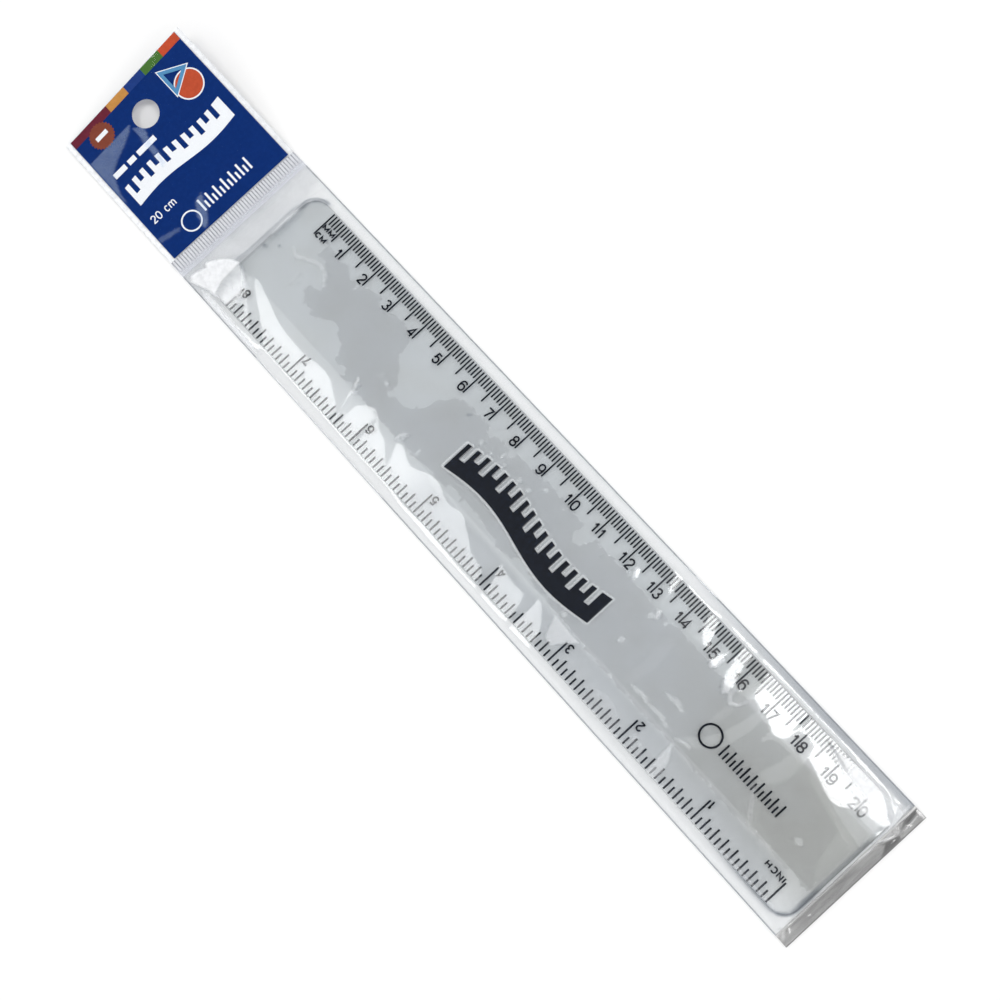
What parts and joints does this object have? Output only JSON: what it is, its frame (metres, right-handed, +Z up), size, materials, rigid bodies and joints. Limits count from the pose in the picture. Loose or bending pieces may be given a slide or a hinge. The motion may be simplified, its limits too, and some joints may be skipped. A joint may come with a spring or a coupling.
{
  "type": "flexible ruler",
  "caption": "Flexible clear plastic ruler with centimetre and inch scales, sealed in a clear film bag with a blue hang header.",
  "frame": {"origin": "on the table, under the middle of the pack's overall box", "axes": "+X along the length from the header to the foot of the bag, +Y across towards the centimetre edge, +Z up, out of the printed face"},
  "size_m": [0.2804, 0.0448, 0.0068],
  "materials": {
    "blade_plastic": "smooth, slightly grey clear soft plastic",
    "ink": "screen-printed dark ink",
    "bag_film": "thin clear glossy film, wrinkled",
    "welded_film": "clear film whitened by the heat weld",
    "header_ink": "glossy blue print on film"
  },
  "bodies": {
    "span_4": {"blade_span_4": "blade_plastic", "cm_scale_span_4": "ink", "inch_scale_span_4": "ink", "bag_front_span_4": "bag_film", "bag_back_span_4": "bag_film", "wave_motif_span_4": "ink"},
    "span_1": {"blade_span_1": "blade_plastic", "cm_scale_span_1": "ink", "inch_scale_span_1": "ink", "bag_front_span_1": "bag_film", "bag_back_span_1": "bag_film"},
    "span_2": {"blade_span_2": "blade_plastic", "cm_scale_span_2": "ink", "inch_scale_span_2": "ink", "bag_front_span_2": "bag_film", "bag_back_span_2": "bag_film"},
    "span_3": {"blade_span_3": "blade_plastic", "cm_scale_span_3": "ink", "inch_scale_span_3": "ink", "bag_front_span_3": "bag_film", "bag_back_span_3": "bag_film", "wave_motif_span_3": "ink"},
    "span_5": {"blade_span_5": "blade_plastic", "cm_scale_span_5": "ink", "inch_scale_span_5": "ink", "bag_front_span_5": "bag_film", "bag_back_span_5": "bag_film", "wave_motif_span_5": "ink"},
    "span_6": {"blade_span_6": "blade_plastic", "cm_scale_span_6": "ink", "inch_scale_span_6": "ink", "bag_front_span_6": "bag_film", "bag_back_span_6": "bag_film", "ring_motif": "ink", "bar_motif_span_6": "ink"},
    "span_7": {"blade_span_7": "blade_plastic", "cm_scale_span_7": "ink", "inch_scale_span_7": "ink", "bag_front_span_7": "bag_film", "bag_back_span_7": "bag_film", "bar_motif_span_7": "ink", "foot_seal": "welded_film"},
    "header": {"crimp_seal": "welded_film", "header_back_film": "bag_film", "header_print": "header_ink", "header_front_film": "bag_film"}
  },
  "joints": [
    {"name": "flex_1", "type": "hinge", "parent": "span_2", "child": "span_1", "pos_m": [-0.0493, 0, 0.00095], "axis": [0, 1, 0], "range_deg": [-25, 25], "stiffness_Nm_per_rad": 0.05},
    {"name": "flex_2", "type": "hinge", "parent": "span_3", "child": "span_2", "pos_m": [-0.0173, 0, 0.00095], "axis": [0, 1, 0], "range_deg": [-25, 25], "stiffness_Nm_per_rad": 0.05},
    {"name": "flex_3", "type": "hinge", "parent": "span_4", "child": "span_3", "pos_m": [0.0127, 0, 0.00095], "axis": [0, 1, 0], "range_deg": [-25, 25], "stiffness_Nm_per_rad": 0.05},
    {"name": "flex_4", "type": "hinge", "parent": "span_4", "child": "span_5", "pos_m": [0.0447, 0, 0.00095], "axis": [0, -1, 0], "range_deg": [-25, 25], "stiffness_Nm_per_rad": 0.05},
    {"name": "flex_5", "type": "hinge", "parent": "span_5", "child": "span_6", "pos_m": [0.0747, 0, 0.00095], "axis": [0, -1, 0], "range_deg": [-25, 25], "stiffness_Nm_per_rad": 0.05},
    {"name": "flex_6", "type": "hinge", "parent": "span_6", "child": "span_7", "pos_m": [0.1047, 0, 0.00095], "axis": [0, -1, 0], "range_deg": [-25, 25], "stiffness_Nm_per_rad": 0.05},
    {"name": "header_fold", "type": "hinge", "parent": "span_1", "child": "header", "pos_m": [-0.08795, 0, 0.0003], "axis": [0, 1, 0], "range_deg": [-120, 120], "stiffness_Nm_per_rad": 0.002}
  ],
  "couplings": [
    {"joint": "flex_3", "follows": "flex_4", "ratio": 1},
    {"joint": "flex_2", "follows": "flex_4", "ratio": 1},
    {"joint": "flex_1", "follows": "flex_4", "ratio": 1},
    {"joint": "flex_5", "follows": "flex_4", "ratio": 1},
    {"joint": "flex_6", "follows": "flex_4", "ratio": 1}
  ]
}
